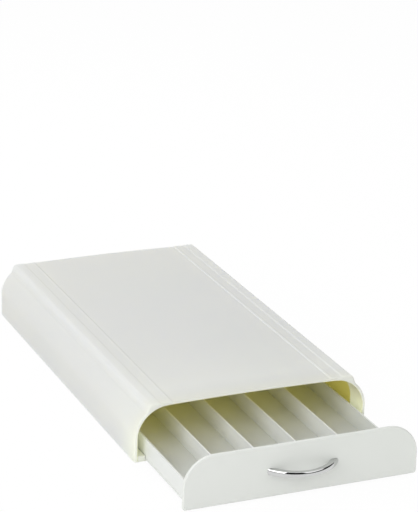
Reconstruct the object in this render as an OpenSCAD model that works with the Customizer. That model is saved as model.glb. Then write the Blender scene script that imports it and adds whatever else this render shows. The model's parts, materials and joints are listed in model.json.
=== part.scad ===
// Drawer for coffee capsules, made to stand under a coffee machine.
// A moulded housing is closed from below by a base plate on rubber feet. The tray slides on the base
// plate between its two side rails, and four strips divide it into five channels for the capsules.
// Millimetres. +Z is up and +Y points to the back. The origin is the centre of the housing's footprint,
// on the plane that the feet stand on.

/* [Housing] */
// Width of the housing
housing_w = 237; // [215:1:260]
// Length of the housing from front to back
housing_l = 400; // [385:1:440]
// Height of the housing from its lower edge to the middle of the deck
housing_h = 55.8; // [54:0.2:62]
// Height of the upright part of the side walls
side_h = 22.5; // [18:0.5:23]
// Radius of the round shoulder above the side wall
shoulder_r = 31.5; // [29:0.5:32]
// Arc of the shoulder, in degrees, from the side wall to the flank of the deck
shoulder_arc = 50; // [44:1:56]
// Lean of the flank of the deck from upright, in degrees
flank_lean = 20; // [8:1:24]
// Wall thickness of the housing behind the mouth
shell_wall = 2.2; // [1.4:0.1:2.6]
// Thickness of the back wall of the housing
back_wall = 2; // [1.4:0.1:3]

/* [Deck] */
// Radius of the crown of the deck, which is highest in the middle
deck_crown_r = 3250; // [2500:50:5000]
// Radius along the upper edge of the deck
deck_edge_r = 4.5; // [2:0.25:6]
// Width of the deck between the two outer step lines
deck_band_w = 183; // [170:1:190]
// Width of the deck between the two inner step lines
deck_centre_w = 160; // [140:1:166]
// Height of each of the two steps
deck_step_h = 0.5; // [0.2:0.1:0.6]
// Width of the ramp that each step makes
deck_ramp_w = 0.6; // [0.2:0.1:1]

/* [Mouth] */
// Thickness of the side walls around the mouth
mouth_wall = 3.3; // [2:0.1:3.6]
// Thickness of the middle of the deck above the mouth
mouth_lintel = 2; // [1.4:0.1:2.4]
// Corner radius of the mouth
mouth_corner_r = 30.5; // [29:0.5:32]
// Depth of the thicker wall around the mouth
mouth_depth = 26; // [15:1:40]

/* [Ribs under the deck] */
// Thickness of the ribs
rib_t = 1.4; // [1:0.1:2]
// Depth of the ribs below the deck
rib_depth = 4; // [2:0.5:6]
// Distance between the ribs that run from front to back
rib_pitch = 30; // [20:1:45]
// Distance between the ribs that run across
cross_rib_pitch = 62; // [40:1:90]

/* [Base plate] */
// Thickness of the base plate
plate_t = 1.5; // [1.2:0.1:2.4]
// Gap between the base plate and the walls of the housing
plate_gap = 0.2; // [0.1:0.1:0.5]
// Width of the side rails
rail_w = 7.1; // [6.6:0.1:9]
// Height of the side rails above the plate
rail_h = 3.9; // [3:0.1:5]
// Length of the stop posts on the rails
post_l = 8; // [5:0.5:12]
// Width of the stop posts
post_w = 4.6; // [4:0.1:6]
// Height of the stop posts above the rails
post_h = 11.6; // [11:0.1:13]
// Distance from the front of the housing to the stop posts
post_setback = 26.5; // [20:0.5:40]

/* [Feet] */
// Diameter of the rubber feet
foot_d = 14; // [10:0.5:20]
// Height of the feet below the base plate
foot_proud = 1.2; // [0.8:0.1:3]
// Depth of the recesses that hold the feet
foot_recess = 0.4; // [0.2:0.1:0.8]
// Gap around each foot in its recess
foot_gap = 0.2; // [0.1:0.1:0.5]
// Distance from the side of the housing to the centre of each foot
foot_inset_x = 23.5; // [20:0.5:40]
// Distance from the front and the back of the housing to the centre of each foot
foot_inset_y = 20; // [12:0.5:50]

/* [Tray] */
// Height of the tray from its underside to its rim
tray_h = 20.2; // [19:0.1:24]
// Thickness of the floor of the tray
tray_floor = 1.6; // [1.2:0.1:2.4]
// Thickness of the side and rear walls of the tray
tray_wall = 1.6; // [1.2:0.1:2]
// Thickness of the front wall of the tray
tray_front_wall = 2; // [1.8:0.1:3]
// Corner radius at the rear of the tray
tray_corner_r = 5; // [3:0.5:10]
// Width by which the floor stands out past the side walls
tray_band = 0.3; // [0.1:0.1:0.5]
// Running gap between the tray and the base plate
tray_gap = 0.3; // [0.2:0.1:0.5]
// Running gap between the tray and each side rail
tray_side_gap = 0.4; // [0.2:0.1:0.8]
// Space behind the tray when the drawer is closed
tray_back_gap = 10.3; // [5:0.1:20]

/* [Dividers] */
// Number of channels
channels = 5; // [5:1:5]
// Thickness of the dividers
divider_t = 1.5; // [1.2:0.1:2]
// Gap around each divider in its slots
divider_gap = 0.1; // [0.05:0.05:0.2]
// Thickness of the guide ribs that make the slots
guide_t = 1.2; // [0.8:0.1:1.6]
// Depth of the guide ribs
guide_depth = 2; // [1.5:0.1:3]
// Height of the tray's rim above the guide ribs
guide_drop = 3; // [1:0.5:6]

/* [Drawer front] */
// Thickness of the drawer front
panel_t = 3; // [2.6:0.1:4]
// Overlap of the drawer front over each side of the mouth
panel_overlap = 0.3; // [0.1:0.1:1]
// Height of the lower edge of the drawer front above the lower edge of the housing
panel_lift = 1.4; // [1:0.1:2]
// Gap between the top of the drawer front and the top of the mouth
panel_top_gap = 2.4; // [0.5:0.1:3]
// Radius of the top corners of the drawer front
panel_corner_r = 30; // [20:0.5:32]
// Radius of the lower corners of the drawer front
panel_foot_r = 2.5; // [2.5:0.1:6]
// Radius along the front edge of the drawer front
panel_edge_r = 1.2; // [0.6:0.1:1.2]

/* [Handle] */
// Width of the handle along the drawer front
handle_w = 70; // [66:1:90]
// Depth of the handle in front of the drawer front
handle_depth = 17; // [15:0.5:22]
// Thickness of the bow at its middle
handle_t = 4.7; // [4:0.1:6]
// Width of each end of the bow on the drawer front
handle_foot_w = 8; // [7.5:0.1:10]
// Height of the bow at its middle
handle_mid_h = 4.5; // [3.5:0.1:6]
// Height of the bow at its ends
handle_end_h = 6; // [5.6:0.1:8]
// Radius along the outer edges of the bow
handle_edge_r = 1.4; // [0.6:0.1:1.7]
// Height of the middle of the handle above the lower edge of the housing
handle_z = 26.4; // [26.2:0.1:30]
// Distance between the two handle screws
handle_hole_spacing = 60; // [58:0.5:61]

/* [Screws] */
// Shank diameter of the screws of the base plate
base_screw_d = 2.6; // [2.2:0.1:3]
// Head diameter of the screws of the base plate
base_head_d = 4.6; // [4:0.1:4.8]
// Head height of the screws of the base plate
base_head_h = 1.6; // [1.2:0.1:1.8]
// Length of the screws of the base plate under the head
base_screw_l = 8; // [6:0.5:8.5]
// Number of screws along each side of the base plate
base_screws_per_side = 4; // [3:1:5]
// Diameter of the bosses under the shoulders of the housing
boss_d = 6; // [5:0.1:6.4]
// Height of the bosses above the rails
boss_h = 5.6; // [5.2:0.1:6]
// Distance from the ends of the housing to the first and last screws of the base plate
boss_inset = 57.5; // [50:0.5:70]
// Shank diameter of the screws of the drawer front
front_screw_d = 2.9; // [2.4:0.1:3.2]
// Head diameter of the screws of the drawer front
front_head_d = 5.5; // [4.8:0.1:6]
// Length of the screws of the drawer front
front_screw_l = 4; // [3.5:0.1:4.2]
// Number of screws of the drawer front
front_screws_n = 4; // [2:1:6]
// Distance between neighbouring screws of the drawer front
front_screw_pitch = 56; // [40:1:60]
// Height of the screws of the drawer front above the floor of the tray
front_screw_z = 8.6; // [6:0.1:12]
// Shank diameter of the handle screws
handle_screw_d = 3; // [2.5:0.1:3.2]
// Head diameter of the handle screws
handle_head_d = 5.6; // [5:0.1:6]
// Head height of the handle screws
handle_head_h = 2.2; // [1.6:0.1:2.6]
// Depth of the screw holes in the handle
handle_bore_depth = 3; // [2:0.1:3.2]
// Difference in diameter between a screw and the hole it cuts its thread in
thread_gap = 0.1; // [0.05:0.05:0.2]
// Difference in diameter between a screw and the hole it passes through
hole_gap = 0.4; // [0.2:0.1:0.5]
// Difference in diameter between a screw head and its counterbore
head_gap = 0.6; // [0.3:0.1:0.8]

/* [Travel] */
// Travel of the drawer from closed to fully open
travel = 300; // [200:5:310]
// Distance that the drawer stands open
open_by = 106.7; // [0:0.1:190]
// Gap between the housing and the drawer front when it is closed
closed_gap = 0.3; // [0.2:0.1:1]
// Length of the lugs at the sides of the tray
lug_l = 10; // [6:0.5:16]
// Width by which the lugs stand out past the sides of the tray
lug_proud = 3.5; // [3:0.1:4]
// Height of the lugs
lug_h = 5; // [4:0.1:5.2]
// Gap between the lugs and the bosses that they pass over
lug_gap = 0.6; // [0.4:0.1:0.8]
// Gap between the lugs and the stop posts at full travel
stop_gap = 0.3; // [0.2:0.1:0.6]

/* [Hidden] */
$fn = 96;
// Overshoot of a cut past the face that it opens
cut = 1;
// Number of flat strips that make up a crown
crown_strips = 12;

// Housing, with z measured from its lower edge
front_y = -housing_l / 2;
back_y = housing_l / 2;
half_w = housing_w / 2;
shoulder_x = half_w - shoulder_r;
kink_x = shoulder_x + shoulder_r * cos(shoulder_arc);
kink_z = side_h + shoulder_r * sin(shoulder_arc);
border_z = housing_h + 2 * deck_step_h;
mouth_half_w = half_w - mouth_wall;
mouth_top = housing_h - mouth_lintel;
cavity_top = housing_h - shell_wall;
cavity_back_y = back_y - back_wall;

// Base plate and its rails
plate_half_w = mouth_half_w - plate_gap;
plate_back_y = cavity_back_y - plate_gap;
rail_inner_x = plate_half_w - rail_w;
rail_top = plate_t + rail_h;
post_y = front_y + post_setback;
boss_x = rail_inner_x + rail_w / 2;
boss_top = rail_top + boss_h;
boss_pitch = (housing_l - 2 * boss_inset) / (base_screws_per_side - 1);
counterbore_h = base_head_h + head_gap / 2;

// Tray
tray_z = plate_t + tray_gap;
floor_z = tray_z + tray_floor;
rim_z = tray_z + tray_h;
tray_half_w = rail_inner_x - tray_side_gap;
wall_half_w = tray_half_w - tray_band;
inner_half_w = wall_half_w - tray_wall;
tray_y = front_y - closed_gap - open_by;
tray_l = cavity_back_y - tray_back_gap - front_y + closed_gap;
tray_back_y = tray_y + tray_l;
inner_front_y = tray_y + tray_front_wall;
inner_back_y = tray_back_y - tray_wall;
lug_z = boss_top + lug_gap;
lug_y = post_y + post_l + stop_gap + travel - open_by;

// Dividers
divider_pitch = (2 * inner_half_w + divider_t) / channels;
slot_half = divider_t / 2 + divider_gap;

// Drawer front
panel_half_w = mouth_half_w + panel_overlap;
panel_top = mouth_top - panel_top_gap;
panel_y = tray_y - panel_t;
front_pilot_depth = front_screw_l - tray_front_wall + thread_gap;

// Handle: two arcs seen from above, through their ends on the drawer front and their crowns
bow_half_w = handle_w / 2;
bow_r = (bow_half_w * bow_half_w + handle_depth * handle_depth) / (2 * handle_depth);
gap_half_w = bow_half_w - handle_foot_w;
gap_depth = handle_depth - handle_t;
gap_r = (gap_half_w * gap_half_w + gap_depth * gap_depth) / (2 * gap_depth);

// Distance from the middle plane to the flank of the deck at height z
function flank_x(z) = kink_x - (z - kink_z) * tan(flank_lean);
// Fall of the crown from the middle plane to distance x
function crown_fall(x) = deck_crown_r - sqrt(deck_crown_r * deck_crown_r - x * x);
// Points of a crown from distance x on the right to x on the left, with its middle at height top.
// The strips touch the crown from outside, and the two last ones end where they touch it.
function crown(top, x) =
    let(
        a = asin(x / deck_crown_r),
        r = deck_crown_r / cos(a / crown_strips),
        end_z = top - crown_fall(x)
    )
    concat(
        [[x, end_z]],
        [for (i = [0 : crown_strips - 1])
            let(t = a * (1 - (2 * i + 1) / crown_strips))
            [r * sin(t), top - deck_crown_r + r * cos(t)]],
        [[-x, end_z]]
    );
// Height of a point on the line x = a - z * tan(flank_lean) at distance d from the point [0, z0]
function height_on_line(a, z0, d) =
    let(
        t = tan(flank_lean),
        b = a * t + z0,
        c = 1 + t * t
    )
    (b + sqrt(b * b - c * (a * a + z0 * z0 - d * d))) / c;
// Middle of divider i, counted from the left
function divider_x(i) = (i - (channels - 1) / 2) * divider_pitch;
// Middle of copy i of n along a row with this pitch
function row(i, n, pitch) = (i - (n - 1) / 2) * pitch;

// Draws its children upright in the XZ plane and extrudes them from y to y + len
module across(y, len) {
    translate([0, y + len, 0])
        rotate([90, 0, 0])
            linear_extrude(len)
                children();
}

// Section of the housing, set in from the outer faces by this much, with the middle of its deck at height top
module housing_section(inset, top) {
    corner_r = max(deck_edge_r - inset, 0.4);
    set_in = inset / cos(flank_lean);
    // The edge's rounding touches the flank and the crown from within
    crown_z = top - deck_crown_r;
    line_x = flank_x(0) - set_in - corner_r / cos(flank_lean);
    corner_z = height_on_line(line_x, crown_z, deck_crown_r - corner_r);
    corner_x = line_x - corner_z * tan(flank_lean);
    flank_touch = [corner_x + corner_r * cos(flank_lean), corner_z + corner_r * sin(flank_lean)];
    crown_touch_x = corner_x * deck_crown_r / (deck_crown_r - corner_r);
    translate([inset - half_w, -cut])
        square([2 * (half_w - inset), side_h + cut]);
    for (side = [-1, 1]) {
        translate([side * shoulder_x, side_h])
            circle(r = shoulder_r - inset);
        translate([side * corner_x, corner_z])
            circle(r = corner_r);
    }
    polygon(concat(
        [[-(flank_x(side_h) - set_in), side_h], [flank_x(side_h) - set_in, side_h], flank_touch],
        crown(top, crown_touch_x),
        [[-flank_touch.x, flank_touch.y]]
    ));
}

// One step of the deck: all above a floor of this width, sunk by this much, with ramps at its sides
module step_section(w, sunk) {
    floor_h = border_z - sunk;
    edge_z = floor_h - crown_fall(w / 2);
    ramp_half_w = w / 2 + deck_ramp_w;
    polygon(concat(
        crown(floor_h, w / 2),
        [
            [-ramp_half_w, edge_z + deck_step_h],
            [-ramp_half_w, border_z + cut],
            [ramp_half_w, border_z + cut],
            [ramp_half_w, edge_z + deck_step_h]
        ]
    ));
}

module outer_section() {
    difference() {
        housing_section(0, border_z);
        translate([-housing_w, -housing_h])
            square([2 * housing_w, housing_h]);
        step_section(deck_band_w, deck_step_h);
        step_section(deck_centre_w, 2 * deck_step_h);
    }
}

// Opening with two round top corners below a crown
module mouth_section() {
    corner_x = mouth_half_w - mouth_corner_r;
    reach = deck_crown_r - mouth_corner_r;
    corner_z = mouth_top - deck_crown_r + sqrt(reach * reach - corner_x * corner_x);
    translate([-mouth_half_w, -cut])
        square([2 * mouth_half_w, corner_z + cut]);
    touch_x = corner_x * deck_crown_r / reach;
    polygon(concat([[-touch_x, -cut], [touch_x, -cut]], crown(mouth_top, touch_x)));
    for (side = [-1, 1])
        translate([side * corner_x, corner_z])
            circle(r = mouth_corner_r);
}

// Ribs under the deck, rooted in the middle of the deck's thickness
module deck_ribs() {
    rib_y = front_y + mouth_depth;
    rib_l = cavity_back_y + back_wall / 2 - rib_y;
    root = shell_wall / 2;
    rib_z = cavity_top - rib_depth;
    long_ribs = 2 * floor(deck_centre_w / 2 / rib_pitch) + 1;
    cross_ribs = floor(rib_l / cross_rib_pitch);
    intersection() {
        across(rib_y - root, rib_l + root)
            housing_section(root, cavity_top + root);
        union() {
            for (i = [0 : long_ribs - 1])
                translate([row(i, long_ribs, rib_pitch) - rib_t / 2, rib_y - root, rib_z])
                    cube([rib_t, rib_l + root, rib_depth + shell_wall]);
            for (i = [0 : cross_ribs - 1])
                translate([-half_w, rib_y + (i + 0.5) * rib_l / cross_ribs - rib_t / 2, rib_z])
                    cube([housing_w, rib_t, rib_depth + shell_wall]);
        }
    }
}

// Calls its children at each screw of the base plate
module at_base_screws() {
    for (side = [0, 1])
        mirror([side, 0, 0])
            for (i = [0 : base_screws_per_side - 1])
                translate([boss_x, row(i, base_screws_per_side, boss_pitch), 0])
                    children();
}

// Bosses on the inside of the side walls, with their webs to the wall
module bosses() {
    web_l = half_w - shell_wall / 2 - boss_x;
    pilot_top = counterbore_h + base_screw_l + head_gap / 2;
    at_base_screws()
        difference() {
            translate([0, 0, rail_top]) {
                cylinder(d = boss_d, h = boss_h);
                translate([0, -boss_d / 2, 0])
                    cube([web_l, boss_d, boss_h]);
            }
            cylinder(d = base_screw_d + thread_gap, h = pilot_top);
        }
}

module housing_shell() {
    color([0.89, 0.90, 0.88])
        translate([0, 0, foot_proud]) {
            difference() {
                across(front_y, housing_l)
                    outer_section();
                across(front_y - cut, mouth_depth + 2 * cut)
                    mouth_section();
                across(front_y + mouth_depth, housing_l - mouth_depth - back_wall)
                    housing_section(shell_wall, cavity_top);
            }
            deck_ribs();
            bosses();
        }
}

module base_plate() {
    plate_l = plate_back_y - front_y;
    color([0.90, 0.91, 0.86])
        translate([0, 0, foot_proud])
            difference() {
                union() {
                    translate([-plate_half_w, front_y, 0])
                        cube([2 * plate_half_w, plate_l, plate_t]);
                    for (side = [0, 1])
                        mirror([side, 0, 0]) {
                            translate([rail_inner_x, front_y, 0])
                                cube([rail_w, plate_l, rail_top]);
                            translate([rail_inner_x, post_y, 0])
                                cube([post_w, post_l, rail_top + post_h]);
                        }
                }
                at_base_screws() {
                    translate([0, 0, -cut])
                        cylinder(d = base_screw_d + hole_gap, h = rail_top + 2 * cut);
                    translate([0, 0, -cut])
                        cylinder(d = base_head_d + head_gap, h = counterbore_h + cut);
                }
                for (x = [-1, 1])
                    for (y = [-1, 1])
                        translate([x * (half_w - foot_inset_x), y * (back_y - foot_inset_y), -cut])
                            cylinder(d = foot_d + 2 * foot_gap, h = foot_recess + cut);
            }
}

// Screw with a domed head. The underside of the head is at z = 0 and the shank points up.
module pan_screw(d, l, head_d, head_h) {
    dome_r = head_h / 2;
    tip_h = d / 2;
    cylinder(d = d, h = l - tip_h);
    translate([0, 0, l - tip_h])
        cylinder(d1 = d, d2 = d / 2, h = tip_h);
    rotate([180, 0, 0])
        rotate_extrude() {
            square([head_d / 2, head_h - dome_r]);
            square([head_d / 2 - dome_r, head_h]);
            translate([head_d / 2 - dome_r, head_h - dome_r])
                circle(r = dome_r);
        }
}

module base_screws() {
    color("silver")
        translate([0, 0, foot_proud])
            at_base_screws()
                translate([0, 0, counterbore_h])
                    pan_screw(base_screw_d, base_screw_l, base_head_d, base_head_h);
}

// Rubber foot at the left or right (x = -1 or 1) and the front or rear (y = -1 or 1)
module foot(x, y) {
    bevel = foot_proud / 3;
    color([0.16, 0.16, 0.17])
        translate([x * (half_w - foot_inset_x), y * (back_y - foot_inset_y), 0]) {
            cylinder(d1 = foot_d - 2 * bevel, d2 = foot_d, h = bevel);
            translate([0, 0, bevel])
                cylinder(d = foot_d, h = foot_proud + foot_recess - bevel);
        }
}

// Plan of the tray: square corners in front, round ones at the rear, set in by this much
module tray_plan(w, inset, y0, y1) {
    corner_r = tray_corner_r - inset;
    translate([-w, y0])
        square([2 * w, y1 - y0 - corner_r]);
    translate([corner_r - w, y0])
        square([2 * (w - corner_r), y1 - y0]);
    for (side = [-1, 1])
        translate([side * (w - corner_r), y1 - corner_r])
            circle(r = corner_r);
}

// Calls its children at each screw of the drawer front, on the inner face of the tray's front wall
module at_front_screws() {
    for (i = [0 : front_screws_n - 1])
        translate([row(i, front_screws_n, front_screw_pitch), inner_front_y, floor_z + front_screw_z])
            rotate([90, 0, 0])
                children();
}

// Countersunk screw. Its flat head is at z = 0 and the shank points up.
module flat_screw(d, l, head_d) {
    head_h = (head_d - d) / 2;
    cylinder(d1 = head_d, d2 = d, h = head_h);
    cylinder(d = d, h = l);
}

// Guide ribs that hold the ends of the dividers
module divider_guides() {
    guide_h = tray_h - tray_floor - guide_drop;
    for (i = [0 : channels - 2])
        for (side = [0, 1])
            translate([divider_x(i + 0.5), 0, 0])
                mirror([side, 0, 0]) {
                    translate([slot_half, tray_y + tray_front_wall / 2, floor_z - tray_floor / 2])
                        cube([guide_t, tray_front_wall / 2 + guide_depth, guide_h + tray_floor / 2]);
                    translate([slot_half, inner_back_y - guide_depth, floor_z - tray_floor / 2])
                        cube([guide_t, tray_wall / 2 + guide_depth, guide_h + tray_floor / 2]);
                }
}

module drawer_tray() {
    color([0.92, 0.93, 0.93])
        translate([0, 0, foot_proud])
            difference() {
                union() {
                    difference() {
                        union() {
                            translate([0, 0, tray_z])
                                linear_extrude(tray_floor)
                                    tray_plan(tray_half_w, 0, tray_y, tray_back_y);
                            translate([0, 0, tray_z])
                                linear_extrude(tray_h)
                                    tray_plan(wall_half_w, tray_band, tray_y, tray_back_y);
                        }
                        translate([0, 0, floor_z])
                            linear_extrude(tray_h)
                                tray_plan(inner_half_w, tray_band + tray_wall, inner_front_y, inner_back_y);
                    }
                    divider_guides();
                    for (side = [0, 1])
                        mirror([side, 0, 0])
                            translate([wall_half_w - tray_wall / 2, lug_y, lug_z])
                                cube([tray_wall / 2 + tray_band + lug_proud, lug_l, lug_h]);
                }
                at_front_screws() {
                    translate([0, 0, -cut])
                        cylinder(d = front_screw_d + hole_gap, h = tray_front_wall + 2 * cut);
                    cylinder(
                        d1 = front_head_d + hole_gap,
                        d2 = front_screw_d + hole_gap,
                        h = (front_head_d - front_screw_d) / 2
                    );
                }
            }
}

// Divider i, counted from the left, with a round upper edge
module divider(i) {
    edge_r = divider_t / 2;
    divider_l = inner_back_y - inner_front_y - 2 * divider_gap;
    color([0.93, 0.94, 0.95])
        translate([divider_x(i - 0.5), 0, foot_proud])
            across(inner_front_y + divider_gap, divider_l) {
                translate([-edge_r, floor_z])
                    square([divider_t, rim_z - edge_r - floor_z]);
                translate([0, rim_z - edge_r])
                    circle(r = edge_r);
            }
}

// Strip of the drawer front seen end on, with its two front corners rounded
module panel_section(w) {
    translate([-w / 2, panel_edge_r])
        square([w, panel_t - panel_edge_r]);
    translate([panel_edge_r - w / 2, 0])
        square([w - 2 * panel_edge_r, panel_t]);
    for (side = [-1, 1])
        translate([side * (w / 2 - panel_edge_r), panel_edge_r])
            circle(r = panel_edge_r);
}

// Round corner of the drawer front, a quarter of a disc towards +X and +Z
module panel_corner(r) {
    translate([0, panel_t, 0])
        rotate([90, 0, 0])
            rotate_extrude(angle = 90)
                intersection() {
                    translate([0, panel_t])
                        mirror([0, 1])
                            panel_section(2 * r);
                    square([r, panel_t]);
                }
}

// Strip of the drawer front laid across it, with this width and height
module panel_strip(w, h) {
    rotate([90, 0, 90])
        linear_extrude(w, center = true)
            rotate(90)
                mirror([0, 1])
                    panel_section(h);
}

module panel_body() {
    side_top = panel_top - panel_corner_r;
    side_foot = panel_lift + panel_foot_r;
    middle_half_w = panel_half_w - panel_corner_r;
    foot_half_w = panel_half_w - panel_foot_r;
    // Middle, between the top corners
    translate([0, 0, (panel_top + panel_lift) / 2])
        panel_strip(2 * middle_half_w, panel_top - panel_lift);
    // Sides, between the upper and the lower corners
    translate([0, 0, side_foot])
        linear_extrude(side_top - side_foot)
            panel_section(2 * panel_half_w);
    // Lower edge, between the lower corners
    intersection() {
        translate([0, 0, side_top])
            panel_strip(2 * foot_half_w, 2 * (side_top - panel_lift));
        translate([-panel_half_w, 0, panel_lift])
            cube([2 * panel_half_w, panel_t, side_top - panel_lift]);
    }
    for (side = [0, 1])
        mirror([side, 0, 0]) {
            translate([middle_half_w, 0, side_top])
                panel_corner(panel_corner_r);
            translate([foot_half_w, 0, side_foot])
                mirror([0, 0, 1])
                    panel_corner(panel_foot_r);
        }
}

// Calls its children at each handle screw, on the rear face of the drawer front
module at_handle_screws() {
    for (side = [-1, 1])
        translate([side * handle_hole_spacing / 2, tray_y, handle_z])
            rotate([90, 0, 0])
                children();
}

module drawer_front() {
    color([0.86, 0.87, 0.85])
        translate([0, 0, foot_proud])
            difference() {
                translate([0, panel_y, 0])
                    panel_body();
                translate([0, -tray_front_wall, 0])
                    at_front_screws()
                        translate([0, 0, -cut])
                            cylinder(d = front_screw_d + thread_gap, h = front_pilot_depth + cut);
                at_handle_screws()
                    translate([0, 0, -cut])
                        cylinder(d = handle_screw_d + hole_gap, h = panel_t + 2 * cut);
            }
}

module front_screws() {
    color("silver")
        translate([0, 0, foot_proud])
            at_front_screws()
                flat_screw(front_screw_d, front_screw_l, front_head_d);
}

// Bow seen from above, cut off at the drawer front: an outer disc with rounded edges, less an inner one.
// Its height grows from the middle to the ends.
module handle() {
    half_mid_h = handle_mid_h / 2;
    half_end_h = handle_end_h / 2;
    color([0.80, 0.80, 0.82])
        translate([0, panel_y, handle_z + foot_proud])
            difference() {
                intersection() {
                    translate([0, bow_r - handle_depth, -half_end_h])
                        rotate_extrude($fn = 180) {
                            translate([0, handle_edge_r])
                                square([bow_r, handle_end_h - 2 * handle_edge_r]);
                            square([bow_r - handle_edge_r, handle_end_h]);
                            for (z = [handle_edge_r, handle_end_h - handle_edge_r])
                                translate([bow_r - handle_edge_r, z])
                                    circle(r = handle_edge_r);
                        }
                    across(-handle_depth, handle_depth)
                        polygon([
                            [-bow_half_w, -half_end_h],
                            [0, -half_mid_h],
                            [bow_half_w, -half_end_h],
                            [bow_half_w, half_end_h],
                            [0, half_mid_h],
                            [-bow_half_w, half_end_h]
                        ]);
                }
                translate([0, gap_r - gap_depth, -handle_end_h])
                    cylinder(r = gap_r, h = 2 * handle_end_h, $fn = 180);
                translate([0, -panel_y, -handle_z])
                    at_handle_screws()
                        cylinder(d = handle_screw_d + thread_gap, h = panel_t + handle_bore_depth);
            }
}

module handle_screws() {
    screw_l = panel_t + handle_bore_depth - thread_gap;
    color("silver")
        translate([0, 0, foot_proud])
            at_handle_screws()
                pan_screw(handle_screw_d, screw_l, handle_head_d, handle_head_h);
}

housing_shell();
base_plate();
base_screws();
foot(-1, -1);  // foot_front_left
foot(1, -1);  // foot_front_right
foot(-1, 1);  // foot_rear_left
foot(1, 1);  // foot_rear_right
drawer_tray();
divider(1);  // divider_1
divider(2);  // divider_2
divider(3);  // divider_3
divider(4);  // divider_4
drawer_front();
front_screws();
handle();
handle_screws();
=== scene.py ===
"""Looks of the coffee capsule drawer: detailed shells, tray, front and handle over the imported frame."""
import json
import math

import bmesh
import bpy
from mathutils import Matrix, Vector

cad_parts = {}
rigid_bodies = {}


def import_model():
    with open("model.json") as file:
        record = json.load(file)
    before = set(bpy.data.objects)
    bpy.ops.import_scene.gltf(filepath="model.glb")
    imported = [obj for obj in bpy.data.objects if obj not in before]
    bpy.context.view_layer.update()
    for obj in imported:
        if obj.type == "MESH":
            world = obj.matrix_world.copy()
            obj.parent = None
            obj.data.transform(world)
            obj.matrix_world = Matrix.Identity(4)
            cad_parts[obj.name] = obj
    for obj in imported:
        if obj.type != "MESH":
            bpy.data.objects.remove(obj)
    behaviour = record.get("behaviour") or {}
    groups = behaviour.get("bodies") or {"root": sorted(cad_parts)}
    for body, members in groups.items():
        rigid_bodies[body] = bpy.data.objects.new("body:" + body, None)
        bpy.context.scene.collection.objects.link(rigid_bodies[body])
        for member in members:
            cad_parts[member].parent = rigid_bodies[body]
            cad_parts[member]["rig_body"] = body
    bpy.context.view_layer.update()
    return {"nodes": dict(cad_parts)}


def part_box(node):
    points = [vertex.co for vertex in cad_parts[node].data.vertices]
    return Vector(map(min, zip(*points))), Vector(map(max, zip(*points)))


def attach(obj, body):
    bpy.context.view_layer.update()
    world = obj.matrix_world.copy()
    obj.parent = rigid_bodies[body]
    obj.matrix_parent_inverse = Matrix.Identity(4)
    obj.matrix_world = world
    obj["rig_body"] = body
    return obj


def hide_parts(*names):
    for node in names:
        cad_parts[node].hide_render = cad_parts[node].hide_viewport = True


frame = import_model()

MM = 0.001

# ---------------------------------------------------------------- sizes in millimetres, as in the CAD model
SHELL_LOW, SHELL_HIGH = (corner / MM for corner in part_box("housing_shell"))
PANEL_LOW, PANEL_HIGH = (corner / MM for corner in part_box("drawer_front"))
HANDLE_LOW, HANDLE_HIGH = (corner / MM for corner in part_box("handle"))

HALF_W = SHELL_HIGH.x
FRONT_Y = SHELL_LOW.y
BACK_Y = SHELL_HIGH.y
BASE_Z = SHELL_LOW.z
HOUSING_H = SHELL_HIGH.z - SHELL_LOW.z
SIDE_H = 22.5
SHOULDER_R = 31.5
SHOULDER_ARC = math.radians(50)
FLANK_LEAN = math.radians(20)
CROWN_R = 3250.0
DECK_EDGE_R = 4.5
DECK_BAND_HALF_W = 91.5
DECK_CENTRE_HALF_W = 80.0
DECK_STEP_H = 0.5
SHELL_WALL = 2.2
BACK_WALL = 2.0
MOUTH_WALL = 3.3
MOUTH_LINTEL = 2.0
MOUTH_CORNER_R = 30.5
MOUTH_DEPTH = 26.0
BORDER_Z = HOUSING_H + 2 * DECK_STEP_H
MOUTH_HALF_W = HALF_W - MOUTH_WALL
MOUTH_TOP = HOUSING_H - MOUTH_LINTEL
CAVITY_TOP = HOUSING_H - SHELL_WALL

RIB_T = 1.4
RIB_DEPTH = 4.0
RIB_PITCH = 30.0
LONG_RIBS = 5
CROSS_RIBS = 6
BOSS_X = 111.45
BOSS_YS = (-142.5, -47.5, 47.5, 142.5)
BOSS_LOW = 5.4
BOSS_HIGH = 11.0
BOSS_D = 6.0
BOSS_PILOT_D = 2.7
BOSS_PILOT_TOP = 10.2

DIVIDERS = 4
PANEL_CORNER_R = 30.0
PANEL_FOOT_R = 2.5
PANEL_EDGE_R = 1.2
FRONT_SCREW_XS = (-84.0, -28.0, 28.0, 84.0)
FRONT_SCREW_Z = 12.0
FRONT_PILOT_D = 3.0
FRONT_PILOT_DEPTH = 2.1

HANDLE_DEPTH = HANDLE_HIGH.y - HANDLE_LOW.y
HANDLE_HALF_W = HANDLE_HIGH.x
HANDLE_T = 4.7
HANDLE_FOOT_W = 8.0
HANDLE_MID_H = 4.5
HANDLE_END_H = 6.0
HANDLE_HOLE_X = 30.0
HANDLE_HOLE_D = 3.4
HANDLE_BORE_D = 3.1
HANDLE_BORE_DEPTH = 3.0

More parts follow.
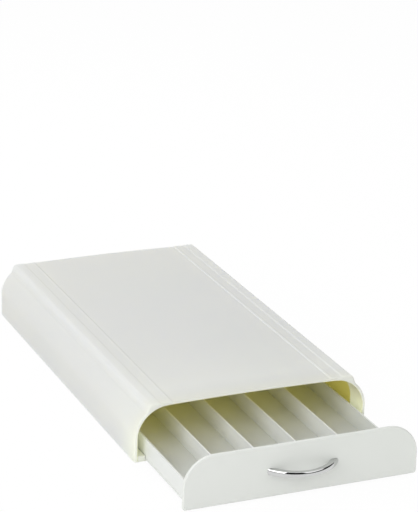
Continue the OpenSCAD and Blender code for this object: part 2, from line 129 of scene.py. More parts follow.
# ---------------------------------------------------------------- finer sizes, of this scene alone
KINK_R = 4.0
LEAST_EDGE_R = 0.5
INNER_RAMP_W = 1.2
OUTER_RAMP_W = 3.0
DECK_RAMPS = ((DECK_CENTRE_HALF_W, INNER_RAMP_W), (DECK_BAND_HALF_W, OUTER_RAMP_W))
DECK_BEAD_X = 82.4
DECK_BEAD_W = 0.9
DECK_BEAD_H = 0.16
MOUTH_STEP_L = 0.8
RIM_IN_R = 0.5
RIM_OUT_R = 2.0
RIM_FLAT = 0.2
RIM_BLEND = 12.0
REAR_EDGE_R = 3.6
RIB_ROOT = 0.7
RIB_END_ROOT = 0.5
RIB_MARGIN = 2.2
PANEL_BACK_R = 0.4
TRAY_EDGE_R = 0.3
PLATE_EDGE_R = 0.3
DIVIDER_EDGE_R = 0.2
FOOT_EDGE_R = 0.15
BOW_CROWN = 0.8
CUT_CLEAR = 1.0

# Most that the bow's crown and roundings take of its half height or thickness, and how it swells to its ends
BOW_CROWN_OF_T = 0.3
BOW_FRONT_OF_H = 0.4
BOW_FRONT_OF_T = 0.35
BOW_BACK_OF_H = 0.3
BOW_BACK_OF_T = 0.3
BOW_SWELL_POWER = 1.5

# ---------------------------------------------------------------- fineness and limits of the meshes
CENTRE_STEPS = 8
RAMP_STEPS = 6
BEAD_STEPS = 10
BEAD_STEPS_PER_W = 3
BORDER_STEPS = 3
DECK_EDGE_STEPS = 10
FLANK_STEPS = 4
KINK_STEPS = 8
SHOULDER_STEPS = 28
SIDE_STEPS = 4
RIM_IN_STEPS = 4
RIM_OUT_STEPS = 6
REAR_EDGE_STEPS = 6
PANEL_TOP_STEPS = 8
PANEL_CORNER_STEPS = 32
PANEL_FOOT_STEPS = 5
PANEL_EDGE_STEPS = 6
PANEL_BACK_STEPS = 3
BOW_STEPS = 72
BOW_CROWN_STEPS = 5
BOW_FRONT_STEPS = 7
BOW_BACK_STEPS = 4
ROD_SIDES = 32
BEVEL_SEGMENTS = 3

# Rows of points along the cavity, as shares of its length behind the mouth
CAVITY_SHARES = (0.66, 0.4, 0.2, 0.08)

MITRE_LIMIT = 0.5
NORMAL_WEIGHT = 60
SEAM_GAP = 1e-6
MERGE_GAP = 0.001
SHADING_ANGLE = math.radians(40)
FLAT_ANGLE = math.radians(0.5)
SHARP_ANGLE = math.radians(35)
FOOT_SHARP_ANGLE = math.radians(25)


# ---------------------------------------------------------------- mesh helpers
def mesh_from(name, bm):
    """A mesh in metres from a bmesh in millimetres, with its faces turned outwards."""
    bmesh.ops.transform(bm, matrix=Matrix.Scale(MM, 4), verts=bm.verts)
    bmesh.ops.recalc_face_normals(bm, faces=bm.faces)
    mesh = bpy.data.meshes.new(name)
    bm.to_mesh(mesh)
    bm.free()
    return mesh


def in_scene(name, data):
    """A new object of this mesh, lamp or camera, linked to the scene."""
    item = bpy.data.objects.new(name, data)
    bpy.context.scene.collection.objects.link(item)
    return item


def new_piece(name, bm, body, replaced, materials, carving=()):
    """A shaded object from a bmesh in millimetres, riding on a body and standing for its CAD nodes."""
    mesh = mesh_from(name, bm)
    for material in materials:
        mesh.materials.append(material)
    piece = in_scene(name, mesh)
    carve(piece, carving)
    shade(piece)
    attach(piece, body)
    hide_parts(*replaced)


def shade(piece):
    """Smooth shading that keeps flat faces flat beside their small roundings."""
    mesh = piece.data
    mesh.shade_smooth()
    mesh.set_sharp_from_angle(angle=SHADING_ANGLE)
    weighted = piece.modifiers.new("weighted", "WEIGHTED_NORMAL")
    weighted.keep_sharp = True
    weighted.weight = NORMAL_WEIGHT
    apply_modifiers(piece)


def apply_modifiers(piece):
    """Replaces the mesh of a piece with its modified one."""
    bpy.context.view_layer.update()
    graph = bpy.context.evaluated_depsgraph_get()
    mesh = bpy.data.meshes.new_from_object(piece.evaluated_get(graph))
    piece.modifiers.clear()
    piece.data = mesh


def carve(piece, carving):
    """Joins a piece with closed meshes or cuts them out, each (operation, bmesh in millimetres)."""
    for operation, bm in carving:
        mesh = mesh_from("tool", bm)
        tool = in_scene("tool", mesh)
        boolean = piece.modifiers.new("boolean", "BOOLEAN")
        boolean.operation = operation
        boolean.solver = "EXACT"
        boolean.use_self = operation == "UNION"
        boolean.object = tool
        apply_modifiers(piece)
        bpy.data.objects.remove(tool)
        bpy.data.meshes.remove(mesh)


def loft(bm, rows, kinds=None):
    """Joins open rows of points with quads. The strip after row i gets the material number kinds[i]."""
    grid = [[bm.verts.new(point) for point in row] for row in rows]
    for i in range(len(grid) - 1):
        for j in range(len(grid[i]) - 1):
            face = bm.faces.new((grid[i][j], grid[i][j + 1], grid[i + 1][j + 1], grid[i + 1][j]))
            if kinds:
                face.material_index = kinds[i]
    return grid


def closed_loft(rings):
    """A closed solid through rings of points, with a flat face at either end."""
    bm = bmesh.new()
    loft(bm, [ring + [ring[0]] for ring in rings])
    bmesh.ops.remove_doubles(bm, verts=bm.verts, dist=SEAM_GAP)
    edges = [edge for edge in bm.edges if edge.is_boundary]
    bmesh.ops.holes_fill(bm, edges=edges, sides=0)
    return bm


def add_box(bm, low, high):
    """A closed box between two corners."""
    # The bits of a corner's number say whether it is high in x, y and z
    corners = [
        bm.verts.new((
            high[0] if i & 1 else low[0],
            high[1] if i & 2 else low[1],
            high[2] if i & 4 else low[2],
        ))
        for i in range(8)
    ]
    for sides in ((0, 2, 3, 1), (4, 5, 7, 6), (0, 1, 5, 4), (2, 6, 7, 3), (0, 4, 6, 2), (1, 3, 7, 5)):
        bm.faces.new([corners[i] for i in sides])


def add_rod(bm, at, radius, length, axis="Z"):
    """A closed round rod from a point: upwards along Z, or towards the front along axis Y."""
    turn = Matrix.Rotation(math.radians(90), 4, "X") if axis == "Y" else Matrix.Identity(4)
    angles = [2 * math.pi * i / ROD_SIDES for i in range(ROD_SIDES)]
    ring = [turn @ Vector((radius * math.cos(angle), radius * math.sin(angle), 0)) for angle in angles]
    along = turn @ Vector((0, 0, length))
    low = [bm.verts.new(Vector(at) + point) for point in ring]
    high = [bm.verts.new(Vector(at) + point + along) for point in ring]
    bm.faces.new(list(reversed(low)))
    bm.faces.new(high)
    for i in range(ROD_SIDES):
        j = (i + 1) % ROD_SIDES
        bm.faces.new((low[i], low[j], high[j], high[i]))


# ---------------------------------------------------------------- paths in a plane
def arc(centre, radius, start, end, steps):
    """Points on an arc in a plane, angles in radians from the first axis."""
    return [
        (
            centre[0] + radius * math.cos(start + (end - start) * i / steps),
            centre[1] + radius * math.sin(start + (end - start) * i / steps),
        )
        for i in range(steps + 1)
    ]


def between(start, end, steps):
    """Points that part a line into equal steps, without its ends."""
    return [
        (start[0] + (end[0] - start[0]) * i / steps, start[1] + (end[1] - start[1]) * i / steps)
        for i in range(1, steps)
    ]


def per_point(value, path):
    """One value for each point of a path, from a list of them or from a single one."""
    return value if isinstance(value, list) else [value] * len(path)


def inset_path(path, distance):
    """An open path moved to its right-hand side by one distance or one per point, with mitred corners."""
    moved = []
    distances = per_point(distance, path)
    for i, point in enumerate(path):
        before = path[max(i - 1, 0)]
        after = path[min(i + 1, len(path) - 1)]
        along_in = Vector(point) - Vector(before)
        along_out = Vector(after) - Vector(point)
        if along_in.length == 0:
            along_in = along_out
        if along_out.length == 0:
            along_out = along_in
        normal_in = Vector((along_in.y, -along_in.x)).normalized()
        normal_out = Vector((along_out.y, -along_out.x)).normalized()
        normal = (normal_in + normal_out).normalized()
        reach = distances[i] / max(normal.dot(normal_in), MITRE_LIMIT)
        moved.append((point[0] + normal.x * reach, point[1] + normal.y * reach))
    return moved


def inset_ring(ring, distance):
    """A closed path moved inwards, where it runs clockwise."""
    padded = [ring[-1]] + ring + [ring[0]]
    return inset_path(padded, distance)[1:-1]


def quarter(steps):
    """Pairs (1 - sin, 1 - cos) of a quarter turn: how far a rounding lies in from two faces."""
    turns = [math.pi / 2 * i / steps for i in range(steps + 1)]
    return [(1 - math.sin(turn), 1 - math.cos(turn)) for turn in turns]


def distance_to_path(point, path):
    """Shortest distance from a point to an open path."""
    best = math.inf
    for start, end in zip(path, path[1:]):
        along = (end[0] - start[0], end[1] - start[1])
        length = math.hypot(*along)
        share = ((point[0] - start[0]) * along[0] + (point[1] - start[1]) * along[1]) / length ** 2
        share = min(max(share, 0), 1)
        best = min(best, math.dist(point, (start[0] + along[0] * share, start[1] + along[1] * share)))
    return best


# ---------------------------------------------------------------- housing
# Material numbers: behind the mouth's step, the thick wall in front of it, the rim and the outer faces
INSIDE, ZONE, RIM, OUTSIDE = range(4)


def mirrored(half):
    """A whole path from its right half, which starts in the middle: left end to right end."""
    return [(-x, z) for x, z in reversed(half)] + half[1:]


def flank_x(z):
    """Distance of the deck's flank from the middle plane, at height z above the housing's lower edge."""
    kink_x = HALF_W - SHOULDER_R + SHOULDER_R * math.cos(SHOULDER_ARC)
    kink_z = SIDE_H + SHOULDER_R * math.sin(SHOULDER_ARC)
    return kink_x - (z - kink_z) * math.tan(FLANK_LEAN)


def beside_flank(away, centre, distance):
    """Highest point at a distance from a centre, on a line beside the flank. away is how far out it lies."""
    slope = math.tan(FLANK_LEAN)
    line_x = flank_x(0) + away / math.cos(FLANK_LEAN) - centre[0]
    share = 1 + slope * slope
    middle = line_x * slope + centre[1]
    root = math.sqrt(middle ** 2 - share * (line_x ** 2 + centre[1] ** 2 - distance ** 2))
    z = (middle + root) / share
    return centre[0] + line_x - z * slope, z


def crown_fall(x):
    """Fall of the deck's crown from the middle plane to distance x."""
    return CROWN_R - math.sqrt(CROWN_R * CROWN_R - x * x)


def step_rise(x):
    """Rise of the deck's two steps and of the soft bead on the inner one, from the middle to distance x."""
    rise = DECK_BEAD_H * math.exp(-((x - DECK_BEAD_X) / DECK_BEAD_W) ** 2)
    for half_w, ramp_w in DECK_RAMPS:
        share = min(max((x - half_w) / ramp_w, 0), 1)
        rise += DECK_STEP_H * share * share * (3 - 2 * share)
    return rise


def deck_xs():
    """Places from the middle of the deck to its outer step, close together on the ramps and on the bead."""
    xs = [DECK_CENTRE_HALF_W * i / CENTRE_STEPS for i in range(CENTRE_STEPS)]
    for half_w, ramp_w in DECK_RAMPS:
        xs += [half_w + ramp_w * i / RAMP_STEPS for i in range(RAMP_STEPS + 1)]
        if half_w < DECK_BEAD_X:
            pitch = DECK_BEAD_W / BEAD_STEPS_PER_W
            xs += [half_w + ramp_w + pitch * i for i in range(1, BEAD_STEPS + 1)]
    return xs


def shoulder(inset):
    """The kink below the flank, the round shoulder and the side wall, down to the lower edge."""
    centre = (HALF_W - SHOULDER_R, SIDE_H)
    # The kink's fillet touches the flank and the shoulder from outside
    kink = beside_flank(KINK_R, centre, SHOULDER_R + KINK_R)
    toward = math.atan2(kink[1] - centre[1], kink[0] - centre[0])
    fillet = arc(kink, KINK_R + inset, math.pi + FLANK_LEAN, math.pi + toward, KINK_STEPS)
    round_part = arc(centre, SHOULDER_R - inset, toward, 0, SHOULDER_STEPS)
    foot = (HALF_W - inset, 0)
    return fillet + round_part[1:] + between((HALF_W - inset, SIDE_H), foot, SIDE_STEPS) + [foot]


def housing_path(inset, top, steps=True):
    """Path of the section, set in by a distance, with a crown of height top: left foot to right foot."""
    inner = [(x, top - crown_fall(x)) for x in deck_xs()]
    if steps:
        inner = [(x, z - 2 * DECK_STEP_H + step_rise(x)) for x, z in inner]
    # The edge's rounding touches the flank and the crown from within
    edge_r = max(DECK_EDGE_R - inset, LEAST_EDGE_R)
    crown_centre = (0, top - CROWN_R)
    edge_x, edge_z = beside_flank(-inset - edge_r, crown_centre, CROWN_R - edge_r)
    crown_side = math.atan2(edge_z - crown_centre[1], edge_x)
    edge = arc((edge_x, edge_z), edge_r, crown_side, FLANK_LEAN, DECK_EDGE_STEPS)
    border = between(inner[-1], edge[0], BORDER_STEPS)
    lower = shoulder(inset)
    flank = between(edge[-1], lower[0], FLANK_STEPS)
    return mirrored(inner + [(x, top - crown_fall(x)) for x, _ in border] + edge + flank + lower)


def mouth_path(outer):
    """Opening with two round top corners below a crown: its nearest point to each point of the outer path."""
    corner_x = MOUTH_HALF_W - MOUTH_CORNER_R
    reach = CROWN_R - MOUTH_CORNER_R
    corner_z = MOUTH_TOP - CROWN_R + math.sqrt(reach * reach - corner_x * corner_x)
    touch_x = corner_x * CROWN_R / reach
    half = []
    for x, z in outer[len(outer) // 2:]:
        if x < touch_x:
            half.append((x, MOUTH_TOP - crown_fall(x)))
        elif z > corner_z:
            turn = math.atan2(z - corner_z, x - corner_x)
            corner = (corner_x + MOUTH_CORNER_R * math.cos(turn), corner_z + MOUTH_CORNER_R * math.sin(turn))
            half.append(corner)
        else:
            half.append((MOUTH_HALF_W, z))
    return mirrored(half)


def upright(path, y):
    """A path of the section, placed at y or at one y per point."""
    return [(x, at, z + BASE_Z) for (x, z), at in zip(path, per_point(y, path))]


def shifted(path, smooth, distance):
    """A stepped path moved inwards along the normals of its smooth twin."""
    return [
        (x + moved[0] - plain[0], z + moved[1] - plain[1])
        for (x, z), moved, plain in zip(path, inset_path(smooth, distance), smooth)
    ]


def rim_radii(path, mouth):
    """Radius of the front edge at each point of the section, as large as the wall around the mouth allows."""
    walls = [distance_to_path(point, mouth) for point in path]
    radii = [min(RIM_OUT_R, wall - RIM_IN_R - RIM_FLAT) for wall in walls]
    # The least radius nearby and then the mean of those, so that the edge changes softly
    near = [[j for j, other in enumerate(path) if math.dist(point, other) < RIM_BLEND] for point in path]
    least = [min(radii[j] for j in group) for group in near]
    return [sum(least[j] for j in group) / len(group) for group in near]


def build_housing():
    """The hollow shell as one skin: back of the cavity, mouth, rim, outer faces and rear edge."""
    outer = housing_path(0, BORDER_Z)
    smooth = housing_path(0, BORDER_Z, steps=False)
    cavity = housing_path(SHELL_WALL, CAVITY_TOP, steps=False)
    mouth = mouth_path(outer)
    radii = rim_radii(outer, mouth)
    mouth_end = FRONT_Y + MOUTH_DEPTH
    cavity_end = BACK_Y - BACK_WALL
    rows = []
    kinds = []

    def add(path, y, kind):
        """A row of points at y, with the material number of the strip that follows it."""
        rows.append(upright(path, y))
        kinds.append(kind)

    add(cavity, cavity_end, INSIDE)
    for share in CAVITY_SHARES:
        add(cavity, mouth_end + (cavity_end - mouth_end) * share, INSIDE)
    add(cavity, mouth_end + MOUTH_STEP_L, INSIDE)
    add(mouth, mouth_end, ZONE)
    rim_kinds = [ZONE] + [RIM] * (RIM_IN_STEPS - 1) + [OUTSIDE]
    for (in_side, in_front), kind in zip(reversed(quarter(RIM_IN_STEPS)), rim_kinds):
        add(inset_path(mouth, -RIM_IN_R * in_side), FRONT_Y + RIM_IN_R * in_front, kind)
    for in_side, in_front in quarter(RIM_OUT_STEPS):
        path = shifted(outer, smooth, [radius * in_side for radius in radii])
        add(path, [FRONT_Y + radius * in_front for radius in radii], OUTSIDE)
    for in_side, in_back in reversed(quarter(REAR_EDGE_STEPS)):
        add(shifted(outer, smooth, REAR_EDGE_R * in_side), BACK_Y - REAR_EDGE_R * in_back, OUTSIDE)

    bm = bmesh.new()
    grid = loft(bm, rows, kinds)
    bm.faces.new(grid[0]).material_index = INSIDE
    bm.faces.new(grid[-1]).material_index = OUTSIDE
    lower = [row[0] for row in grid] + [row[-1] for row in reversed(grid)]
    bm.faces.new(lower).material_index = OUTSIDE
    return bm


def build_ribs():
    """Ribs under the deck, along and across."""
    bm = bmesh.new()
    start = FRONT_Y + MOUTH_DEPTH
    end = BACK_Y - BACK_WALL
    low = CAVITY_TOP - RIB_DEPTH + BASE_Z
    high = CAVITY_TOP + RIB_ROOT + BASE_Z
    for i in range(LONG_RIBS):
        x = (i - (LONG_RIBS - 1) / 2) * RIB_PITCH
        add_box(bm, (x - RIB_T / 2, start, low), (x + RIB_T / 2, end + RIB_END_ROOT, high))
    half = flank_x(CAVITY_TOP - RIB_DEPTH) - SHELL_WALL / 2 - RIB_MARGIN
    pitch = (end + SHELL_WALL / 2 - start) / CROSS_RIBS
    for i in range(CROSS_RIBS):
        y = start + (i + 0.5) * pitch
        add_box(bm, (-half, y - RIB_T / 2, low), (half, y + RIB_T / 2, high))
    return bm


def boss_places():
    """Side, -1 or 1, and y of each boss for the screws of the base plate."""
    return [(side, y) for side in (-1, 1) for y in BOSS_YS]


def boss_rods(diameter, low, high):
    """Upright rods where the bosses stand, between two heights above the housing's lower edge."""
    bm = bmesh.new()
    for side, y in boss_places():
        add_rod(bm, (side * BOSS_X, y, low + BASE_Z), diameter / 2, high - low)
    return bm


def build_webs():
    """Blocks that tie the bosses to the side walls."""
    bm = bmesh.new()
    wall = HALF_W - SHELL_WALL / 2
    for side, y in boss_places():
        left, right = sorted((side * BOSS_X, side * wall))
        low = (left, y - BOSS_D / 2, BOSS_LOW + BASE_Z)
        add_box(bm, low, (right, y + BOSS_D / 2, BOSS_HIGH + BASE_Z))
    return bm


# ---------------------------------------------------------------- drawer front
def panel_path():
    """Outline of the drawer front, clockwise seen from the front, from the lower left corner."""
    low = PANEL_LOW.z
    high = PANEL_HIGH.z
    foot_x = PANEL_HIGH.x - PANEL_FOOT_R
    top_x = PANEL_HIGH.x - PANEL_CORNER_R
    foot_z = low + PANEL_FOOT_R
    top_z = high - PANEL_CORNER_R
    path = arc((-foot_x, foot_z), PANEL_FOOT_R, 1.5 * math.pi, math.pi, PANEL_FOOT_STEPS)
    path += arc((-top_x, top_z), PANEL_CORNER_R, math.pi, math.pi / 2, PANEL_CORNER_STEPS)
    path += between((-top_x, high), (top_x, high), PANEL_TOP_STEPS)
    path += arc((top_x, top_z), PANEL_CORNER_R, math.pi / 2, 0, PANEL_CORNER_STEPS)
    path += arc((foot_x, foot_z), PANEL_FOOT_R, 0, -math.pi / 2, PANEL_FOOT_STEPS)
    return path


def build_panel():
    """The panel with a rounded front edge and a finer rounding at its back."""
    ring = panel_path()
    rings = []
    for in_side, in_back in quarter(PANEL_BACK_STEPS):
        path = inset_ring(ring, PANEL_BACK_R * in_side)
        rings.append([(x, PANEL_HIGH.y - PANEL_BACK_R * in_back, z) for x, z in path])
    for in_side, in_front in reversed(quarter(PANEL_EDGE_STEPS)):
        path = inset_ring(ring, PANEL_EDGE_R * in_side)
        rings.append([(x, PANEL_LOW.y + PANEL_EDGE_R * in_front, z) for x, z in path])
    return closed_loft(rings)


def front_pilots():
    """Rods along the four screws of the drawer front."""
    bm = bmesh.new()
    for x in FRONT_SCREW_XS:
        at = (x, PANEL_HIGH.y + CUT_CLEAR, FRONT_SCREW_Z + BASE_Z)
        add_rod(bm, at, FRONT_PILOT_D / 2, FRONT_PILOT_DEPTH + CUT_CLEAR, axis="Y")
    return bm


# ---------------------------------------------------------------- handle
def bow_arc(half_w, depth):
    """Radius and half angle of an arc through its two ends and its crown."""
    radius = (half_w * half_w + depth * depth) / (2 * depth)
    return radius, math.asin(half_w / radius)


def bow_point(half_w, depth, share):
    """Point on an arc of the bow, seen from above. share runs from -1 to 1 along it."""
    radius, half_angle = bow_arc(half_w, depth)
    angle = share * half_angle
    return Vector((radius * math.sin(angle), PANEL_LOW.y + radius - depth - radius * math.cos(angle)))


def handle_section(share):
    """Closed section of the bow: a flat back, rounded edges and a crowned front."""
    outer = bow_point(HANDLE_HALF_W, HANDLE_DEPTH, share)
    inner = bow_point(HANDLE_HALF_W - HANDLE_FOOT_W, HANDLE_DEPTH - HANDLE_T, share)
    middle_z = (HANDLE_LOW.z + HANDLE_HIGH.z) / 2
    half_h = (HANDLE_MID_H + (HANDLE_END_H - HANDLE_MID_H) * abs(share) ** BOW_SWELL_POWER) / 2
    thick = (outer - inner).length
    front_r = min(half_h * BOW_FRONT_OF_H, thick * BOW_FRONT_OF_T)
    back_r = min(half_h * BOW_BACK_OF_H, thick * BOW_BACK_OF_T)
    crown = min(BOW_CROWN, thick * BOW_CROWN_OF_T)
    flat_h = half_h - front_r
    tilt = 2 * math.atan2(crown, flat_h)
    front_x = thick - crown - front_r * math.cos(tilt)
    edge_h = flat_h + front_r * math.sin(tilt)
    section = arc((front_x, flat_h), front_r, math.pi / 2, tilt, BOW_FRONT_STEPS)
    for i in range(1 - BOW_CROWN_STEPS, BOW_CROWN_STEPS):
        fall = i / BOW_CROWN_STEPS
        section.append((thick - crown * fall ** 2, -edge_h * fall))
    section += arc((front_x, -flat_h), front_r, -tilt, -math.pi / 2, BOW_FRONT_STEPS)
    section += arc((back_r, back_r - half_h), back_r, -math.pi / 2, -math.pi, BOW_BACK_STEPS)
    section += arc((back_r, half_h - back_r), back_r, math.pi, math.pi / 2, BOW_BACK_STEPS)
    along = (outer - inner) / thick
    return [(inner.x + along.x * out, inner.y + along.y * out, middle_z + up) for out, up in section]


def build_handle():
    """The bow, through its sections from its left foot to its right one."""
    return closed_loft([handle_section(2 * i / BOW_STEPS - 1) for i in range(BOW_STEPS + 1)])


def handle_bores(y, radius, length):
    """Rods along the two handle screws, from y towards the front."""
    bm = bmesh.new()
    middle_z = (HANDLE_LOW.z + HANDLE_HIGH.z) / 2
    for x in (-HANDLE_HOLE_X, HANDLE_HOLE_X):
        add_rod(bm, (x, y, middle_z), radius, length, axis="Y")
    return bm


# ---------------------------------------------------------------- softened CAD nodes
def soften(node, radius, material, sharp_angle=SHARP_ANGLE):
    """Replaces a CAD node by a copy with its sharp edges rounded off by a small radius."""
    source = frame["nodes"][node]
    bm = bmesh.new()
    bm.from_mesh(source.data)
    bmesh.ops.transform(bm, matrix=Matrix.Scale(1 / MM, 4), verts=bm.verts)
    bmesh.ops.remove_doubles(bm, verts=bm.verts, dist=MERGE_GAP)
    bmesh.ops.dissolve_limit(
        bm, angle_limit=FLAT_ANGLE, verts=bm.verts, edges=bm.edges, use_dissolve_boundaries=False
    )
    sharp = [
        edge
        for edge in bm.edges
        if len(edge.link_faces) == 2 and edge.calc_face_angle(0) > sharp_angle
    ]
    bmesh.ops.bevel(
        bm, geom=sharp, offset=radius, offset_type="OFFSET", segments=BEVEL_SEGMENTS, profile=0.5,
        affect="EDGES", clamp_overlap=True,
    )
    body = source["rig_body"]
    new_piece(node + "_soft", bm, body, [node], [material])


# ---------------------------------------------------------------- shader helpers
def shader(name):
    """A new material, its node tree and its Principled shader."""
    material = bpy.data.materials.new(name)
    material.use_nodes = True
    tree = material.node_tree
    return material, tree, tree.nodes["Principled BSDF"]


def feed(tree, socket, value):
    """Links a node's output to a socket, or sets the socket to a number or to a colour, a triple."""
    if isinstance(value, bpy.types.NodeSocket):
        tree.links.new(value, socket)
    elif isinstance(value, tuple):
        socket.default_value = (*value, 1)
    else:
        socket.default_value = value


def place(tree):
    """Position on the object, in metres."""
    return tree.nodes.new("ShaderNodeTexCoord").outputs["Object"]


def noise(tree, scale, detail, stretch=None):
    """Noise with features about 1 / scale metres wide."""
    node = tree.nodes.new("ShaderNodeTexNoise")
    node.inputs["Scale"].default_value = scale
    node.inputs["Detail"].default_value = detail
    coordinates = place(tree)
    if stretch:
        mapping = tree.nodes.new("ShaderNodeMapping")
        mapping.inputs["Scale"].default_value = stretch
        tree.links.new(coordinates, mapping.inputs["Vector"])
        coordinates = mapping.outputs["Vector"]
    tree.links.new(coordinates, node.inputs["Vector"])
    return node.outputs["Fac"]


def ranged(tree, value, low, high, from_low=0.3, from_high=0.7):
    """A value spread over a new range. Left alone, it starts from the range that most of a noise lies in."""
    node = tree.nodes.new("ShaderNodeMapRange")
    node.inputs["From Min"].default_value = from_low
    node.inputs["From Max"].default_value = from_high
    node.inputs["To Min"].default_value = low
    node.inputs["To Max"].default_value = high
    tree.links.new(value, node.inputs["Value"])
    return node.outputs["Result"]


def rising(tree, vector, axis, start, end):
    """Rises from 0 to 1 while a vector's component goes from start to end."""
    split = tree.nodes.new("ShaderNodeSeparateXYZ")
    tree.links.new(vector, split.inputs["Vector"])
    return ranged(tree, split.outputs[axis], 0, 1, start, end)


def behind_mouth(tree, reach):
    """Rises from 0 at the mouth to 1 at a distance behind it, in millimetres."""
    return rising(tree, place(tree), "Y", FRONT_Y * MM, (FRONT_Y + reach) * MM)


def larger(tree, first, second):
    """The larger one of two outputs."""
    node = tree.nodes.new("ShaderNodeMath")
    node.operation = "MAXIMUM"
    tree.links.new(first, node.inputs[0])
    tree.links.new(second, node.inputs[1])
    return node.outputs[0]


def is_ray(tree, *kinds):
    """1 for rays of these kinds, otherwise 0."""
    path = tree.nodes.new("ShaderNodeLightPath")
    total = path.outputs[kinds[0]]
    for kind in kinds[1:]:
        total = larger(tree, total, path.outputs[kind])
    return total


def mixed(tree, factor, first, second):
    """Two colours mixed by a factor. A colour is a triple or another node's output."""
    node = tree.nodes.new("ShaderNodeMix")
    node.data_type = "RGBA"
    tree.links.new(factor, node.inputs["Factor"])
    feed(tree, node.inputs["A"], first)
    feed(tree, node.inputs["B"], second)
    return node.outputs["Result"]


def blended(tree, share, first, second):
    """Two shaders mixed by the second one's share, a number or another node's output."""
    node = tree.nodes.new("ShaderNodeMixShader")
    feed(tree, node.inputs["Fac"], share)
    tree.links.new(first, node.inputs[1])
    tree.links.new(second, node.inputs[2])
    return node.outputs[0]


def clouded(tree, principled, scale, detail, first, second):
    """Base colour: two colours in clouds about 1 / scale metres wide."""
    cloud = ranged(tree, noise(tree, scale, detail), 0, 1)
    tree.links.new(mixed(tree, cloud, first, second), principled.inputs["Base Color"])


def patchy(tree, principled, scale, detail, low, high):
    """Roughness between two values, in patches about 1 / scale metres wide."""
    tree.links.new(ranged(tree, noise(tree, scale, detail), low, high), principled.inputs["Roughness"])


def add_bump(tree, principled, height, strength, distance):
    """Lays a bump over the ones that the shader has. distance is its depth in metres."""
    node = tree.nodes.new("ShaderNodeBump")
    node.inputs["Strength"].default_value = strength
    node.inputs["Distance"].default_value = distance
    tree.links.new(height, node.inputs["Height"])
    normal = principled.inputs["Normal"]
    if normal.links:
        tree.links.new(normal.links[0].from_socket, node.inputs["Normal"])
    tree.links.new(node.outputs["Normal"], normal)


def linear(red, green, blue):
    """A colour given as 0 to 255 display values, as linear values."""
    return tuple((value / 255) ** 2.2 for value in (red, green, blue))


# ---------------------------------------------------------------- materials
PLASTIC_IOR = 1.49
# How far behind the mouth the painted shade and the painted warmer front reach, and the heights between which
# the low tint turns into the darker high one, a painted shade at the top of the mouth's walls
ZONE_REACH = 2 * MOUTH_DEPTH
WARM_REACH = 1.3 * MOUTH_DEPTH
INSIDE_REACH = 120.0
LOW_TINT_Z = 22.0
HIGH_TINT_Z = 48.0


def moulded_grain(tree, principled):
    """The fine grain of a moulded face."""
    add_bump(tree, principled, noise(tree, scale=2600, detail=2), strength=0.05, distance=0.00005)


def plastic(name, colour, shade_colour):
    """Satin moulded plastic: faint cloudiness, a fine moulded grain and long flow waves."""
    material, tree, principled = shader(name)
    clouded(tree, principled, scale=9, detail=4, first=colour, second=shade_colour)
    patchy(tree, principled, scale=60, detail=5, low=0.32, high=0.44)
    principled.inputs["IOR"].default_value = PLASTIC_IOR
    waves = noise(tree, scale=14, detail=2, stretch=(1, 0.35, 1))
    add_bump(tree, principled, waves, strength=0.12, distance=0.0006)
    moulded_grain(tree, principled)
    return material


def painted_depth_shade(name, near, far, reach):
    """Plastic on the inside of the housing, with painted shade: its colour darkens and yellows with distance
    from the mouth, standing in for the dim, yellow light deeper inside.
    """
    material, tree, principled = shader(name)
    tint = mixed(tree, behind_mouth(tree, reach), near, far)
    cloud = ranged(tree, noise(tree, scale=12, detail=4), low=0, high=0.25)
    tree.links.new(mixed(tree, cloud, tint, far), principled.inputs["Base Color"])
    patchy(tree, principled, scale=60, detail=5, low=0.36, high=0.5)
    moulded_grain(tree, principled)
    return material


def warm_front_painted_light(material, near, reach):
    """Painted light: warms a plastic towards the mouth. Its bluish base offsets the yellow light from within,
    and near the mouth the thicker wall stops that light, so the colour there is warmer instead.
    """
    tree = material.node_tree
    base = tree.nodes["Principled BSDF"].inputs["Base Color"]
    colour = base.links[0].from_socket
    tree.links.new(mixed(tree, behind_mouth(tree, reach), near, colour), base)


def lets_light_through(material, share, tint, low_tint=None):
    """A share of the light passes through the thin wall and takes on its tint. A low tint, where given, holds
    at its foot and turns into the tint higher up: a painted shade, darker towards the top.
    """
    tree = material.node_tree
    through = tree.nodes.new("ShaderNodeBsdfTranslucent")
    if low_tint:
        height = rising(tree, place(tree), "Z", LOW_TINT_Z * MM, HIGH_TINT_Z * MM)
        tint = mixed(tree, height, low_tint, tint)
    feed(tree, through.inputs["Color"], tint)
    surface = blended(tree, share, tree.nodes["Principled BSDF"].outputs[0], through.outputs[0])
    tree.links.new(surface, tree.nodes["Material Output"].inputs["Surface"])


def chrome(name):
    """Polished chrome plate with the faintest polishing lines and smears."""
    material, tree, principled = shader(name)
    principled.inputs["Metallic"].default_value = 1
    clouded(tree, principled, scale=120, detail=4, first=(0.63, 0.635, 0.63), second=(0.59, 0.595, 0.59))
    patchy(tree, principled, scale=300, detail=4, low=0.05, high=0.12)
    lines = noise(tree, scale=900, detail=3, stretch=(0.05, 1, 1))
    add_bump(tree, principled, lines, strength=0.05, distance=0.00002)
    return material


def steel(name):
    """Zinc-plated screw steel with turning marks."""
    material, tree, principled = shader(name)
    principled.inputs["Metallic"].default_value = 1
    clouded(tree, principled, scale=500, detail=4, first=(0.56, 0.56, 0.58), second=(0.42, 0.42, 0.45))
    patchy(tree, principled, scale=900, detail=4, low=0.25, high=0.42)
    add_bump(tree, principled, noise(tree, scale=3000, detail=3), strength=0.2, distance=0.00005)
    return material


def rubber(name):
    """Matt black rubber with a dusty, grainy face."""
    material, tree, principled = shader(name)
    clouded(tree, principled, scale=260, detail=6, first=(0.025, 0.025, 0.027), second=(0.06, 0.06, 0.062))
    patchy(tree, principled, scale=400, detail=4, low=0.65, high=0.85)
    add_bump(tree, principled, noise(tree, scale=1800, detail=4), strength=0.4, distance=0.0001)
    return material


